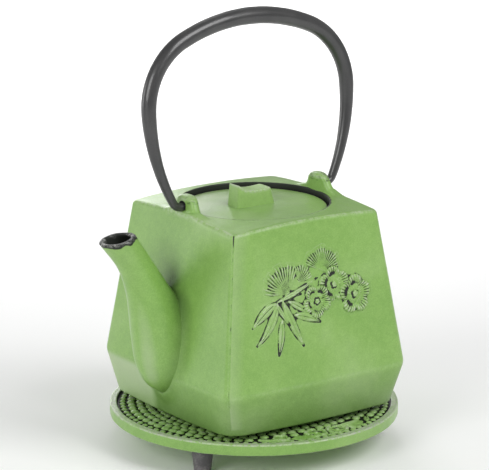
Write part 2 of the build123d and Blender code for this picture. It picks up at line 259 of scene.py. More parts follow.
def finish_material(name, group, specular, coat, coat_roughness, bump, **values):
    """A material whose colour, roughness and relief come from a finish group, with values for its inputs."""
    made = bpy.data.materials.new(name)
    made.use_nodes = True
    tree = made.node_tree
    shader = tree.nodes["Principled BSDF"]
    shader.inputs["Specular IOR Level"].default_value = specular
    shader.inputs["Coat Weight"].default_value = coat
    shader.inputs["Coat Roughness"].default_value = coat_roughness
    finish = node(tree, "ShaderNodeGroup", node_tree=group)
    for socket, value in values.items():
        finish.inputs[socket].default_value = value
    tree.links.new(finish.outputs["Color"], shader.inputs["Base Color"])
    tree.links.new(finish.outputs["Roughness"], shader.inputs["Roughness"])
    relief_bump = node(tree, "ShaderNodeBump", Strength=bump, Distance=0.0006)
    tree.links.new(finish.outputs["Height"], relief_bump.inputs["Height"])
    tree.links.new(relief_bump.outputs["Normal"], shader.inputs["Normal"])
    return made


green_iron = finish_material("green_iron", paint, 0.5, 0.20, 0.28, 0.30)


# ---------------------------------------------------------------- pot
# The body is one iron casting, square in plan with bowed faces, widest at a crease near its foot, with a
# domed shoulder round the mouth. Inside it is black; it stands on a low ring.
MM = 0.001
ring_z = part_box("teapot_floor")[0].z / MM
ring_height, ring_outer, ring_inner = 3.0, 44.0, 39.0
crease_height, side_height = 21.3, 101.7
foot_half, crease_half, top_half = 52.8, 56.3, 45.2
base_z = ring_z + ring_height
crease_z = base_z + crease_height
corner_z = base_z + side_height
mouth_z = corner_z + 1.9
mouth_radius = 38.7
ledge_z = mouth_z - 5.9
ledge_radius = 34.6
cavity_top = mouth_z - 9.0
wall = 3.5
edge_drop, corner_drop = 0.15, 2.1
# The faces are carried on over the top edge, for pieces that stand on the shoulder.
carried_on = 40.0
lean_in = (crease_half - top_half) / (side_height - crease_height)
section_heights = (base_z, crease_z, corner_z, corner_z + carried_on)
section_half = (foot_half, crease_half, top_half, top_half - carried_on * lean_in)
section_bow = (2.7, 1.4, 0.4, 0.0001)
section_corner = (12.0, 4.5, 2.8, 2.8)
side_columns, corner_columns = 72, 8
per_side = 2 * corner_columns + side_columns + 1
columns = 4 * (per_side - 1)


def outline(z, inset=0.0):
    """Points round the pot at heights z, shaped (4, columns of one side), in millimetres.

    Each side is a shallow arc through two corners and a bowed middle, and each corner is an arc
    tangent to both neighbours, centred on the diagonal; the other sides are turns of the first.
    """
    half = np.interp(z, section_heights, section_half) - inset
    bow = np.interp(z, section_heights, section_bow)
    corner = np.interp(z, section_heights, section_corner)
    side_radius = (half**2 + bow**2) / (2 * bow)
    side_centre = side_radius - half - bow
    diagonal = (np.sqrt(2 * (side_radius - corner) ** 2 - side_centre**2) - side_centre) / 2
    tangent = np.arctan2(-diagonal - side_centre, -diagonal)
    share = np.linspace(0, 1, corner_columns, endpoint=False)
    middle_share = np.linspace(0, 1, side_columns + 1)
    first = np.arange(per_side) < corner_columns
    last = np.arange(per_side) > corner_columns + side_columns
    progress = np.concatenate([share, middle_share, share + 1 / corner_columns])
    start = np.where(first, -0.75 * np.pi, np.where(last, -np.pi - tangent, tangent))
    end = np.where(first, tangent, np.where(last, -0.25 * np.pi, -np.pi - tangent))
    angle = start + (end - start) * progress
    radius = np.where(first | last, corner, side_radius)
    across = np.where(first, -diagonal, np.where(last, diagonal, 0.0)) + radius * np.cos(angle)
    outward = np.where(first | last, -diagonal, side_centre) + radius * np.sin(angle)
    turn = np.arange(4)[:, None] * np.pi / 2
    x = across * np.cos(turn) - outward * np.sin(turn)
    y = across * np.sin(turn) + outward * np.cos(turn)
    return np.stack([x, y, np.broadcast_to(z, x.shape)], -1)


def level(z, inset=0.0):
    """One closed row of points round the pot, at one height or at a height for each column."""
    heights = np.broadcast_to(np.asarray(z, float), (4, per_side))
    return outline(heights, inset)[:, :-1].reshape(columns, 3)


# The faces meet the shoulder in an edge that droops from each side's middle to the corners.
edge_reach = np.hypot(*np.moveaxis(outline(np.full((4, per_side), corner_z))[..., :2], -1, 0))
edge_share = (edge_reach - edge_reach.min()) / (edge_reach.max() - edge_reach.min())
edge_row = level(mouth_z - edge_drop - (corner_drop - edge_drop) * edge_share**1.1)
bearing = np.arctan2(edge_row[:, 1], edge_row[:, 0])


def circle(radius, z, angles=bearing):
    """One closed row of points on a circle about the pot's axis."""
    return np.stack([radius * np.cos(angles), radius * np.sin(angles), np.full_like(angles, z)], -1)


def rounded_rows(knots, rounding, steps, bend_rows=5):
    """Rows of a surface that runs straight between rows of corner points, rounded at each of them.

    A corner is a parabola from one side of the knot to the other, as far from it as its rounding.
    """
    knots = np.asarray(knots, float)
    runs = np.diff(knots, axis=0)
    runs = runs / np.maximum(np.linalg.norm(runs, axis=-1, keepdims=True), 1e-9)
    rows = []
    for index, count in enumerate(steps):
        begin = knots[index] + runs[index] * rounding[index]
        finish = knots[index + 1] - runs[index] * rounding[index + 1]
        share = np.linspace(0, 1, count + 1)[:, None, None]
        rows.append(begin + (finish - begin) * share)
        if index + 1 < len(steps) and rounding[index + 1] > 0:
            share = np.linspace(0, 1, bend_rows + 2)[1:-1, None, None]
            beyond = knots[index + 1] + runs[index + 1] * rounding[index + 1]
            rows.append(
                (1 - share) ** 2 * finish + 2 * share * (1 - share) * knots[index + 1] + share**2 * beyond
            )
        elif index + 1 < len(steps):
            rows[-1] = rows[-1][:-1]
    return np.concatenate(rows)


def turned(profile, rounding, steps, angles, bend_rows=5):
    """Rows of a round piece: a profile of (radius, height) points, rounded at each and turned on the axis."""
    return rounded_rows([circle(radius, z, angles) for radius, z in profile], rounding, steps, bend_rows)


def waves(points, size, seed):
    """Soft unevenness of a hand-finished casting: a sum of sines in random directions, about -1 to 1."""
    draw = np.random.default_rng(seed)
    total = 0.0
    for _ in range(7):
        direction = draw.normal(size=3)
        direction *= 2 * np.pi / size / np.linalg.norm(direction) * draw.uniform(0.6, 1.5)
        total = total + np.sin(points @ direction + draw.uniform(0, 2 * np.pi))
    return total / 3.5


def placed(name, points, faces, body, finish, marks):
    """An object from points in millimetres and faces, with marks for its finish, carried by a body."""
    mesh = bpy.data.meshes.new(name)
    mesh.from_pydata((points * MM).tolist(), [], faces)
    for key, values in marks.items():
        mesh.attributes.new(key, "FLOAT", "POINT").data.foreach_set("value", values.astype(np.float32))
    mesh.shade_smooth()
    mesh.materials.append(finish)
    made = bpy.data.objects.new(name, mesh)
    scene.collection.objects.link(made)
    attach(made, body)
    return made


def solid(name, rows, body, finish=green_iron, marks=None, capped=True, sharp=40.0):
    """A piece from closed rows of points: quads between rows, and a fan about a pole at each end."""
    row_count, column_count = rows.shape[:2]
    points = rows.reshape(-1, 3)
    ring = np.arange(column_count)
    start = np.arange(row_count - 1)[:, None] * column_count
    now, following = start + ring, start + np.roll(ring, -1)
    quads = np.stack([now, following, following + column_count, now + column_count], -1).reshape(-1, 4)
    faces = quads.tolist()
    poles = []
    for row in (0, row_count - 1) if capped else ():
        edge = [row * column_count + ring, row * column_count + np.roll(ring, -1)]
        first, second = edge[::-1] if row == 0 else edge
        faces += np.stack([first, second, np.full(column_count, len(points) + len(poles))], -1).tolist()
        poles.append(rows[row].mean(0))
    corners = points[quads]
    normals = np.cross(corners[:, 1] - corners[:, 0], corners[:, 3] - corners[:, 0])
    if ((corners[:, 0] - points.mean(0)) * normals).sum() < 0:
        faces = [face[::-1] for face in faces]
    points = np.concatenate([points, np.array(poles).reshape(-1, 3)])
    full_marks = {}
    for key, values in (marks or {}).items():
        full_marks[key] = np.zeros(len(points))
        full_marks[key][: rows[..., 0].size] = np.broadcast_to(values, rows.shape[:2]).reshape(-1)
    made = placed(name, points, faces, body, finish, full_marks)
    made.data.set_sharp_from_angle(angle=np.radians(sharp))
    return made


def near(distance, reach):
    """A mark that is 1 at no distance and fades evenly to 0 at its reach."""
    return np.clip(1 - np.abs(distance) / reach, 0, 1)


# The spout's middle line: distance from the pot's axis, height above the base of the faces, radius.
spout_line = np.array([
    (54.0, 12.8, 2.6), (57.2, 20.4, 9.8), (58.7, 30.0, 13.0), (59.9, 43.0, 13.7), (63.0, 57.0, 12.6),
    (67.8, 70.0, 10.3), (74.8, 83.5, 8.4), (84.0, 96.5, 8.7), (91.0, 106.0, 9.2),
])
join_reach = 7.0


def through(values, where):
    """A smooth curve through values at whole numbers: each span is a cubic with its neighbours' slopes."""
    values = np.asarray(values, float)
    slopes = np.gradient(values, axis=0)
    span = np.clip(np.floor(where).astype(int), 0, len(values) - 2)
    share = (where - span)[:, None]
    a, b, sa, sb = values[span], values[span + 1], slopes[span], slopes[span + 1]
    return (
        (2 * share**3 - 3 * share**2 + 1) * a + (share**3 - 2 * share**2 + share) * sa
        + (3 * share**2 - 2 * share**3) * b + (share**3 - share**2) * sb
    )


spout_path = through(spout_line, np.linspace(0, len(spout_line) - 1, 161))
spout_points = np.stack([-spout_path[:, 0], 0 * spout_path[:, 0], base_z + spout_path[:, 1]], -1)


def soft_join(distance):
    """How far a skin swells near another one: a quarter of the reach at contact, fading to none."""
    return join_reach / 4 * near(np.maximum(distance, 0), join_reach) ** 2


def casting_swell(points):
    """The body's own unevenness, level and away from its axis, which the relief on it shares."""
    away = points * (1, 1, 0)
    away = away / np.maximum(np.linalg.norm(away, axis=-1, keepdims=True), 1e-6)
    return (0.12 * waves(points, 38.0, 4))[..., None] * away


body_rows = rounded_rows(
    [
        level(base_z + 4.0, wall), level(crease_z, wall), level(cavity_top, wall),
        circle(ledge_radius, cavity_top), circle(ledge_radius, ledge_z), circle(mouth_radius, ledge_z),
        circle(mouth_radius, mouth_z), edge_row, level(crease_z), level(base_z), circle(ring_outer, base_z),
        circle(ring_outer, ring_z), circle(ring_inner, ring_z), circle(ring_inner, base_z),
    ],
    (0, 2.0, 2.0, 0.4, 0.4, 0.5, 0.8, 2.4, 2.2, 1.0, 0.4, 0.6, 0.6, 0),
    (3, 8, 2, 2, 1, 4, 10, 60, 16, 2, 1, 1, 1),
)
row_number = np.arange(len(body_rows))[:, None]
rows_within = 36
square_reach = np.abs(body_rows[..., :2]).max(-1)
outside = (body_rows[..., 2] > base_z - 0.5) & (square_reach > mouth_radius + 0.5)
outside &= row_number > rows_within

# The face swells to meet the spout, by each point's distance from the nearest ball on the spout's line.
near_spout = outside & (body_rows[..., 0] < -40) & (body_rows[..., 2] < corner_z - 2)
gaps = np.linalg.norm(body_rows[near_spout][:, None] - spout_points, axis=-1) - spout_path[:, 2]
spout_gap = np.full(body_rows.shape[:2], 50.0)
spout_gap[near_spout] = gaps.min(1)
join = (soft_join(spout_gap) * near_spout)[..., None]
body_rows = body_rows + casting_swell(body_rows) * outside[..., None] + join * (-1.0, 0, 0)
pot_x, pot_y, pot_z = np.moveaxis(body_rows, -1, 0)

# The shoulder sweeps up to the foot of each lug, most beside it and least towards the mouth.
beside_lug = np.maximum(np.abs(pot_y) - 7.5, 0) / 6.5
within_lug = np.maximum(41.5 - np.abs(pot_x), 0) / 2.6
shoulder_share = np.clip((pot_z - corner_z + 3) / 3, 0, 1) * outside
pot_z += 2.3 * np.exp(-(beside_lug**2) - within_lug**2) * shoulder_share

# Paint is thin along the upright corners and the top edge. Inside there is none. The dark line round the mouth is
# painted shade, for the gap round the lid.
folded = np.abs(np.abs(pot_x) - np.abs(pot_y))
on_faces = (pot_z > base_z + 4) & (pot_z < edge_row[:, 2] - 0.2)
front_corner = (pot_x < 0) & (pot_y < 0)
square_reach = np.abs(body_rows[..., :2]).max(-1)
near_edge = near(pot_z - edge_row[:, 2], 1.8) * (square_reach > 44.0) * outside
inside = row_number < np.argmax(pot_z[:, 0] > mouth_z - 0.35)
# Painted shade: a dark line round the mouth's rim, where the gap round the lid lies.
mouth_gap_shade = np.clip(1.5 - np.abs(np.hypot(pot_x, pot_y) - mouth_radius) / 0.9, 0, 1) * (pot_z > mouth_z - 3)
corner_chips = np.clip(0.5 + 0.6 * waves(body_rows, 13.0, 12) + 0.35 * waves(body_rows, 4.5, 13), 0.1, 0.9)
corner_chips = corner_chips * np.interp(
    pot_z, (base_z, crease_z, crease_z + 30, corner_z - 14, corner_z), (0.7, 0.55, 0.6, 0.8, 1.2)
)
sharp_corner = near(folded, 0.9) * outside * on_faces
body_ink_and_shade = np.maximum(inside * 1.0, sharp_corner * corner_chips * np.where(front_corner, 1.0, 0.8))
body_ink_and_shade = np.maximum(body_ink_and_shade, 0.72 * mouth_gap_shade)
body_worn = np.maximum(0.35 * near(folded, 1.5) * outside * on_faces * (1 - sharp_corner), 0.8 * near_edge)
body_worn = np.maximum(body_worn, 0.14 * near(pot_z - crease_z, 1.3) * outside)

# Painted shade darkens the paint under the crease, where the spout joins the face and in the nook over the
# spout's neck; a painted reflection makes it paler low down on the spout's far side and along the near corner.
under_crease = np.clip((crease_z - pot_z) / (crease_z - base_z), 0, 1) * outside
left_of_spout = np.clip((pot_y - 6.0) / 6.0, 0, 1) * (pot_x < -45)
body_painted_shade = (0.17 + 0.61 * under_crease) * np.clip(under_crease * 8, 0, 1) * (1 - left_of_spout)
# Painted shade where the spout joins the face, strongest high up.
spout_join_shade = np.interp(pot_z - base_z, (18, 40, 62, 74), (0.15, 0.45, 1.0, 0.0))
body_painted_shade = np.maximum(body_painted_shade, spout_join_shade * np.clip(1.35 - spout_gap / 7.5, 0, 1) * near_spout)
# Painted shade in the nook above the spout's neck, which also pulls it a little towards black.
nook_shade = np.exp(-((pot_y / 7.0) ** 2) - ((pot_z - base_z - 70.0) / 9.0) ** 2) * (pot_x < -40) * outside
body_painted_shade = np.maximum(body_painted_shade, nook_shade)
body_ink_and_shade = np.maximum(body_ink_and_shade, 0.40 * nook_shade**1.5)
# Painted reflection: paler low on the chamfer beyond the spout, and in a strip beside the near corner.
body_painted_sheen = left_of_spout * np.clip(under_crease * 8, 0, 1) * (1 - 0.5 * under_crease)
corner_reflection = np.clip(1 - (folded - 0.8) / 9.0, 0, 1) * (folded > 0.8) * on_faces * front_corner * (pot_y < pot_x)
body_painted_sheen = np.maximum(body_painted_sheen, 0.34 * corner_reflection)
pot = solid(
    "pot_body", body_rows, "pot",
    marks={"ink_and_shade": body_ink_and_shade, "worn": body_worn, "painted_shade": body_painted_shade, "painted_sheen": body_painted_sheen},
)
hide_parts(*frame["record"]["behaviour"]["bodies"]["pot"])


# ---------------------------------------------------------------- relief on the pot
# Pine, bamboo and plum are cast proud of the face that looks along -Y, up to about a millimetre. Black
# colour was rubbed over them and wiped off, so it stays in the hollows. The blossoms' lobes also carry
# painted shade in their hollows, on the side away from the lower right.
relief_x, relief_z = np.meshgrid(np.linspace(-42.0, 40.0, 350), np.linspace(58.0, 113.5, 250))
buried, shows = -0.4, -0.3
relief = np.full_like(relief_x, buried)
relief_lines_and_shade = np.zeros_like(relief_x)


def fan(x, z, hub, towards, spread, reach, needles):
    """Height of a pine fan, and its ink: needles are a cosine of the angle about the hub, rising outwards."""
    distance = np.hypot(x - hub[0], z - hub[1])
    angle = np.arctan2(z - hub[1], x - hub[0]) - np.radians(towards)
    share = ((angle + np.pi) % (2 * np.pi) - np.pi) / np.radians(spread)
    rib = np.abs(np.cos(share * needles * np.pi / 2 + 0.5 * np.sin(distance * 0.5)))
    lengths = 0.05 * np.sin(share * 11.0 + hub[0]) + 0.04 * np.sin(share * 23.0 + hub[1])
    along = distance / (reach * (0.82 + 0.16 * rib + lengths) * (1 - 0.10 * share**2))
    body = np.interp(along, (0, 0.12, 0.4, 0.8, 0.94, 1.0), (0.25, 0.35, 0.75, 0.9, 0.6, -0.1))
    groove = 0.95 * (1 - rib) ** 0.8 * np.interp(along, (0.12, 0.35, 1.0), (0, 1, 0.9))
    dark = (1 - rib) * np.interp(along, (0.05, 0.2, 0.75, 0.95), (0.4, 1.1, 0.9, 0))
    shown = (np.abs(share) < 1) & (along < 1)
    return np.where(shown, body - groove, buried), dark * shown


def blossom(x, z, middle, size, turn):
    """Height of a plum blossom, and its ink.

    Five lobes are a cosine of the angle; each is a raised rim round a hollow, with ribbed stamens. The
    dark in each lobe's hollow, strongest towards the upper left and none towards the lower right, is
    painted shade.
    """
    distance = np.hypot(x - middle[0], z - middle[1])
    angle = np.arctan2(z - middle[1], x - middle[0]) - np.radians(turn)
    lobe = np.abs(np.cos(2.5 * angle))
    along = distance / (size * (0.66 + 0.34 * lobe**0.45))
    rise = np.interp(
        along, (0, 0.14, 0.2, 0.34, 0.58, 0.78, 0.92, 1.0), (0.85, 0.8, 0.25, 0.42, 0.02, 0.95, 0.8, -0.1)
    )
    stamens = 0.30 * np.cos(22.5 * angle) * np.interp(along, (0.2, 0.3, 0.5, 0.62), (0, 1, 0.6, 0))
    notch = 0.5 * near(lobe, 0.35) * np.interp(along, (0.3, 0.6), (0, 1))
    fringe = 0.30 * np.cos(34 * angle) * np.interp(along, (0.55, 0.75, 1.0), (0, 1, 1))
    tipped = 0.28 * np.cos(2 * angle + turn) * np.interp(along, (0.3, 0.6, 0.9), (0, 1, 0.6))
    # Painted shade: the side of each lobe away from the lower right is darkened.
    shaded_side = np.clip(0.75 + 0.9 * np.cos(angle - np.radians(150 - turn)), 0, 1.1)
    hollow = np.exp(-(((along - 0.58) / 0.10) ** 2)) * shaded_side * np.clip(lobe * 2 - 0.5, 0, 1)
    ribs = np.clip(-np.cos(34 * angle), 0, 1) * np.interp(along, (0.5, 0.62, 0.9, 1.0), (0, 1, 0.8, 0))
    heart = np.exp(-(((along - 0.21) / 0.06) ** 2))
    dark = np.maximum(np.maximum(hollow, 0.62 * ribs), 0.7 * heart)
    return np.where(along < 1, rise + stamens - notch + fringe + tipped, buried), dark * (along < 0.9)


def blade(x, z, start, bend, tip, width):
    """Height of a leaf, and its ink: half a lens across a bent line, with a groove down its middle."""
    share = np.linspace(0, 1, 33)[:, None]
    line = (1 - share) ** 2 * np.array(start) + 2 * share * (1 - share) * np.array(bend)
    line = line + share**2 * np.array(tip)
    gaps = np.hypot(x[..., None] - line[:, 0], z[..., None] - line[:, 1])
    along = share[gaps.argmin(-1), 0]
    aside = gaps.min(-1)
    half = width / 2 * np.sin(np.pi * (0.04 + 0.94 * along) ** 0.8) + 0.12
    across = np.clip(aside / half, 0, 1)
    rise = 0.78 * np.sqrt(1 - across**2) - 0.60 * np.exp(-((aside / 0.34) ** 2)) * (along > 0.12)
    rise = rise - 0.16 * np.cos(2 * np.pi * aside / 0.95)
    edge = near(aside - half - 0.12, 0.62) * (0.35 + 0.85 * along)
    streak = np.exp(-((aside / 0.32) ** 2)) * np.clip(1.6 * along - 0.5, 0, 0.8) * (aside < half)
    return np.where(aside < half, rise, buried), np.maximum(edge, streak)


for leaf in (
    ((-23.9, 87.4), (-31.0, 84.0), (-38.4, 77.4), 5.0),
    ((-22.8, 87.2), (-25.5, 76.5), (-36.8, 68.0), 4.6),
    ((-20.6, 78.5), (-21.5, 70.0), (-24.1, 61.4), 3.6),
    ((-19.2, 87.6), (-14.5, 75.0), (-8.4, 63.8), 4.6),
    ((-12.5, 80.0), (-5.0, 78.5), (3.0, 74.2), 4.2),
    ((-15.5, 87.2), (-9.0, 84.0), (-2.8, 78.8), 3.4),
    ((-19.0, 88.6), (-14.0, 91.5), (-7.8, 89.9), 3.0),
    ((-23.0, 87.0), (-21.0, 83.0), (-16.5, 75.5), 2.4),
    ((-22.5, 88.0), (-10.0, 91.0), (3.0, 96.5), 2.2),
):
    risen, dark = blade(relief_x, relief_z, *leaf)
    relief = np.maximum(relief, risen)
    relief_lines_and_shade = np.maximum(relief_lines_and_shade * (risen < 0), dark)
for needles in (
    ((-15.5, 90.5), 117, 56, 16.6, 15), ((-8.8, 95.8), 55, 48, 9.8, 9), ((6.0, 99.3), 70, 84, 12.8, 21)
):
    risen, dark = fan(relief_x, relief_z, *needles)
    relief_lines_and_shade = np.where(risen > relief, dark, relief_lines_and_shade)
    relief = np.maximum(relief, risen)
on_flowers = np.zeros_like(relief_x)
for flower in (((13.0, 91.6), 9.6, 20), ((1.6, 84.8), 8.9, 52), ((25.8, 84.7), 10.3, 88)):
    risen, dark = blossom(relief_x, relief_z, *flower)
    relief = np.where(risen > shows, risen, relief)
    relief_lines_and_shade = np.where(risen > shows, 1.3 * dark, relief_lines_and_shade)
    on_flowers = np.maximum(on_flowers, (risen > shows) * 1.0)


def softened(values, cells):
    """A grid blurred by a Gaussian that many cells wide, by way of its Fourier transform."""
    rows, cols = (np.fft.fftfreq(n) for n in values.shape)
    falloff = np.exp(-2 * (np.pi * cells) ** 2 * (rows[:, None] ** 2 + cols[None] ** 2))
    return np.fft.ifft2(np.fft.fft2(values) * falloff).real


# Between the motifs a thin skin of metal lies just proud of the face; beyond them the sheet is buried in it.
by_motif = softened((relief > shows) * 1.0, 4.0) > 0.06
relief = np.maximum(softened(relief, 0.8), softened(np.where(by_motif, 0.05, buried), 1.0))
around = softened(relief, 4.5)
relief_place = np.stack([relief_x, 0 * relief_x, relief_z], -1)
unevenness = waves(relief_place, 9.0, 11)
patches = 0.8 + 0.45 * waves(relief_place, 5.0, 14)
relief_ink_and_shade = np.clip((around - relief - 0.05) * 4.4 * patches + 0.12 * unevenness, 0, 1) * by_motif
relief_ink_and_shade = relief_ink_and_shade * (1 - 0.45 * softened(on_flowers, 2.5))
relief_ink_and_shade = np.maximum(relief_ink_and_shade, relief_lines_and_shade * np.clip(0.85 + 0.9 * unevenness, 0, 1))
relief_worn = np.clip((relief - around - 0.05) * 3.5, 0, 1)

# The sheet follows the bowed face and rises square to it.
half_here = np.interp(relief_z, section_heights, section_half)
bow_here = np.interp(relief_z, section_heights, section_bow)
arc_radius = (half_here**2 + bow_here**2) / (2 * bow_here)
face_y = arc_radius - half_here - bow_here - np.sqrt(arc_radius**2 - relief_x**2)
face_points = np.stack([relief_x, face_y, relief_z], -1)
face_points = face_points + casting_swell(face_points)
relief_height = 1.25
relief_rows = face_points - relief_height * relief[..., None] * np.array((0, 0.99, -0.14))


def backed(rows, back_columns, offset, marks):
    """Closes a sheet into a thin slab: a few of its columns, moved back, are its back in reverse order."""
    back = rows[:, back_columns] + offset
    marks = {key: np.concatenate([values, values[:, back_columns]], 1) for key, values in marks.items()}
    return np.concatenate([rows, back], 1), marks


middle_column = relief_x.shape[1] // 2
relief_slab, relief_marks = backed(
    relief_rows, [-1, middle_column, 0], (0, 1.0, 0), {"ink_and_shade": relief_ink_and_shade, "worn": relief_worn}
)
solid("pot_relief", relief_slab, "pot", marks=relief_marks, sharp=80.0)


# ---------------------------------------------------------------- spout
# The spout is cast with the body: a round tube that swells low down, narrows and flares, cut nearly level
# at its mouth, where use has chipped the paint off the lip.
def tube(where, thinner=0.0):
    """Points and outward directions on the spout's skin at places along it, one for each column round it."""
    spot = through(spout_line, where.reshape(-1))
    ahead = through(spout_line, where.reshape(-1) + 0.02) - through(spout_line, where.reshape(-1) - 0.02)
    direction = np.stack([-ahead[:, 0], 0 * ahead[:, 0], ahead[:, 1]], -1)
    direction /= np.linalg.norm(direction, axis=-1, keepdims=True)
    centre = np.stack([-spot[:, 0], 0 * spot[:, 0], base_z + spot[:, 1]], -1).reshape(*where.shape, 3)
    across = np.cross(direction, (0, 1.0, 0)).reshape(*where.shape, 3)
    ring = np.linspace(0, 2 * np.pi, where.shape[1], endpoint=False)[:, None]
    round_it = across * np.cos(ring) + np.array((0, 1.0, 0)) * np.sin(ring)
    return centre + round_it * (spot[:, 2].reshape(where.shape) - thinner)[..., None], round_it


spout_columns = 72
spout_wall = 2.6
bore_foot = 2.6
lip_rise = 0.9
tilt = np.radians(10.0)
mouth_normal = np.array((-np.sin(tilt), 0, np.cos(tilt)))
mouth_centre = np.array((-84.0, 0, base_z + 96.5))


def cut_place(thinner):
    """For each column, the place along the tube where it meets the plane just under the mouth."""
    places = np.linspace(5.5, 7.9, 200)
    skin, _ = tube(np.repeat(places[:, None], spout_columns, 1), thinner)
    above = (skin - mouth_centre) @ mouth_normal + lip_rise
    first = np.argmax(above > 0, axis=0)
    ring = np.arange(spout_columns)
    share = above[first, ring] / (above[first, ring] - above[first - 1, ring])
    return places[first] - share * (places[1] - places[0])


outer_rows, outer_normals = tube(np.linspace(0.02, 1, 120)[:, None] * cut_place(0.0))
inner_cut = cut_place(spout_wall)
inner_rows, _ = tube(inner_cut + np.linspace(0, 1, 40)[:, None] * (bore_foot - inner_cut), spout_wall)
half_turn = np.linspace(0, np.pi, 9)[1:-1, None, None]
lip_rows = outer_rows[-1] + (inner_rows[0] - outer_rows[-1]) * (1 - np.cos(half_turn)) / 2
lip_wobble = waves(lip_rows, 7.0, 21)[..., None] * 0.22
lip_rows = lip_rows + mouth_normal * (lip_rise * 0.8 + lip_wobble) * np.sin(half_turn)
face_here = np.interp(outer_rows[..., 2], section_heights, section_half)
face_gap = -outer_rows[..., 0] - face_here - np.interp(outer_rows[..., 2], section_heights, section_bow)
outer_rows = outer_rows + outer_normals * (soft_join(face_gap) + 0.10 * waves(outer_rows, 24.0, 5))[..., None]
spout_rows = np.concatenate([outer_rows, lip_rows, inner_rows])

# A painted highlight makes a pale streak down the spout's near side, and painted shade darkens it where it meets
# the face.
below_mouth = -((spout_rows - mouth_centre) @ mouth_normal)
spout_inside = np.arange(len(spout_rows))[:, None] >= len(outer_rows) + 2
chipping = waves(spout_rows, 5.0, 8)
spout_ink = np.where(spout_inside, 1.0, np.clip((2.6 + chipping - below_mouth) / 1.6, 0, 1))
spout_bare = near(below_mouth - 0.3, 1.4) * np.clip(0.28 + chipping, 0, 1)
# Painted highlight: paler where the spout's skin faces the front-left lamp.
highlight_facing = outer_normals @ np.array((-0.86, -0.51, 0))
spout_painted_highlight, spout_painted_shade = np.zeros((2, *below_mouth.shape))
spout_painted_highlight[: len(outer_rows)] = 0.5 * np.clip((highlight_facing - 0.93) / 0.07, 0, 1) * np.interp(
    outer_rows[..., 2] - base_z, (12, 24, 55, 75), (0, 1, 0.8, 0)
)
# Painted shade on the spout next to the face.
spout_painted_shade[: len(outer_rows)] = 0.45 * np.clip(1.2 - face_gap / 6.0, 0, 1)
solid(
    "pot_spout", spout_rows, "pot",
    marks={"ink_and_shade": spout_ink, "bare": spout_bare, "painted_shade": spout_painted_shade, "painted_sheen": spout_painted_highlight},
)


# ---------------------------------------------------------------- lugs
# Two tabs stand on the body in line with the spout and carry the handle. Each is flush with its face
# outside, flares into the shoulder at its foot, and has a blind hole for the handle's end.
def squared_ring(angles, power):
    """A ring between a circle and a square: cosine and sine, each raised to a power with its sign kept."""
    way = np.stack([np.cos(angles), np.sin(angles)])
    return np.sign(way) * np.abs(way) ** power


hinge = next(joint for joint in frame["joints"] if joint["name"] == "bail_swing")
hinge_z = hinge["pos_m"][2] / MM
lug_foot = mouth_z - 1.0
hole_radius, hole_depth = 3.1, 1.6
# Half the tab's width, height above its foot, thickness.
lug_shape = np.array([
    (16.5, -3.0, 6.7), (15.0, -0.9, 6.6), (12.8, 0.7, 6.5), (10.6, 2.4, 6.4), (9.0, 4.2, 6.3),
    (7.9, 6.0, 6.2), (7.0, 7.6, 6.1), (5.6, 9.1, 5.5), (3.6, 9.95, 4.0), (1.2, 10.2, 1.5),
])
lug_half, lug_height, lug_thick = through(lug_shape, np.linspace(0, len(lug_shape) - 1, 60)).T[..., None]
lug_ring = np.linspace(0, 2 * np.pi, 80, endpoint=False)
lug_out, lug_across = squared_ring(lug_ring, 2 / 2.9)
lug_y = lug_across * lug_half
lug_z = np.broadcast_to(lug_foot + lug_height, lug_y.shape)
lug_face = np.interp(lug_z, section_heights, section_half) + np.interp(lug_z, section_heights, section_bow)
off_hinge = np.hypot(lug_y, lug_z - hinge_z)
outer_side = np.clip(np.cos(lug_ring) * 4, 0, 1)
lug_x = lug_face - np.maximum(lug_thick, 5.9) / 2 + lug_out * lug_thick / 2
lug_x = lug_x - outer_side * hole_depth * np.clip((hole_radius - off_hinge) / 0.7, 0, 1)
hole_ink = outer_side * np.clip((hole_radius + 0.5 - off_hinge) / 0.8, 0, 1)
for side, label in ((-1, "spout_side"), (1, "far_side")):
    lug_rows = np.stack([side * lug_x, lug_y, lug_z], -1)
    lug_rows = lug_rows + 0.12 * waves(lug_rows, 9.0, 30 + side)[..., None] * (0, 1, 1)
    patchy = np.clip(0.7 + 0.7 * waves(lug_rows, 6.0, 40 + side), 0, 1)
    lug_ink = np.maximum(hole_ink, 0.40 * patchy * (lug_height > 6.4))
    solid(f"lug_{label}", lug_rows, "pot", marks={"ink_and_shade": lug_ink, "worn": 0.5 * (lug_height > 8.0)})

# ---------------------------------------------------------------- lid
# A flat cast disc, slightly domed, that lies in the mouth on the infuser's flange; a skirt under it keeps
# it in the infuser.
lid_low, lid_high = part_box("lid")
lid_radius = lid_high.x / MM
lid_top = lid_high.z / MM
lid_edge = lid_top - 1.3
lid_under = lid_edge - 3.0
skirt_foot = lid_low.z / MM
skirt_inner, skirt_outer = 29.6, 32.0
turns = np.linspace(0, 2 * np.pi, 180, endpoint=False)
lid_rows = turned(
    (
        (4.2, lid_under), (skirt_inner, lid_under), (skirt_inner, skirt_foot), (skirt_outer, skirt_foot),
        (skirt_outer, lid_under), (lid_radius, lid_under), (lid_radius, lid_edge), (15.0, lid_top),
        (1.0, lid_top),
    ),
    (0, 0.3, 0.5, 0.5, 0.3, 0.5, 0.9, 3.0, 0), (8, 3, 1, 3, 3, 2, 22, 12), turns,
)
rows_below = 40
lid_up = np.arange(len(lid_rows))[:, None] > rows_below
lid_rows = lid_rows + (waves(lid_rows, 26.0, 3) * 0.09 - 0.09)[..., None] * lid_up[..., None] * (0, 0, 1)
lid_x, lid_y, _ = np.moveaxis(lid_rows, -1, 0)
to_rim = np.hypot(lid_x, lid_y) - lid_radius
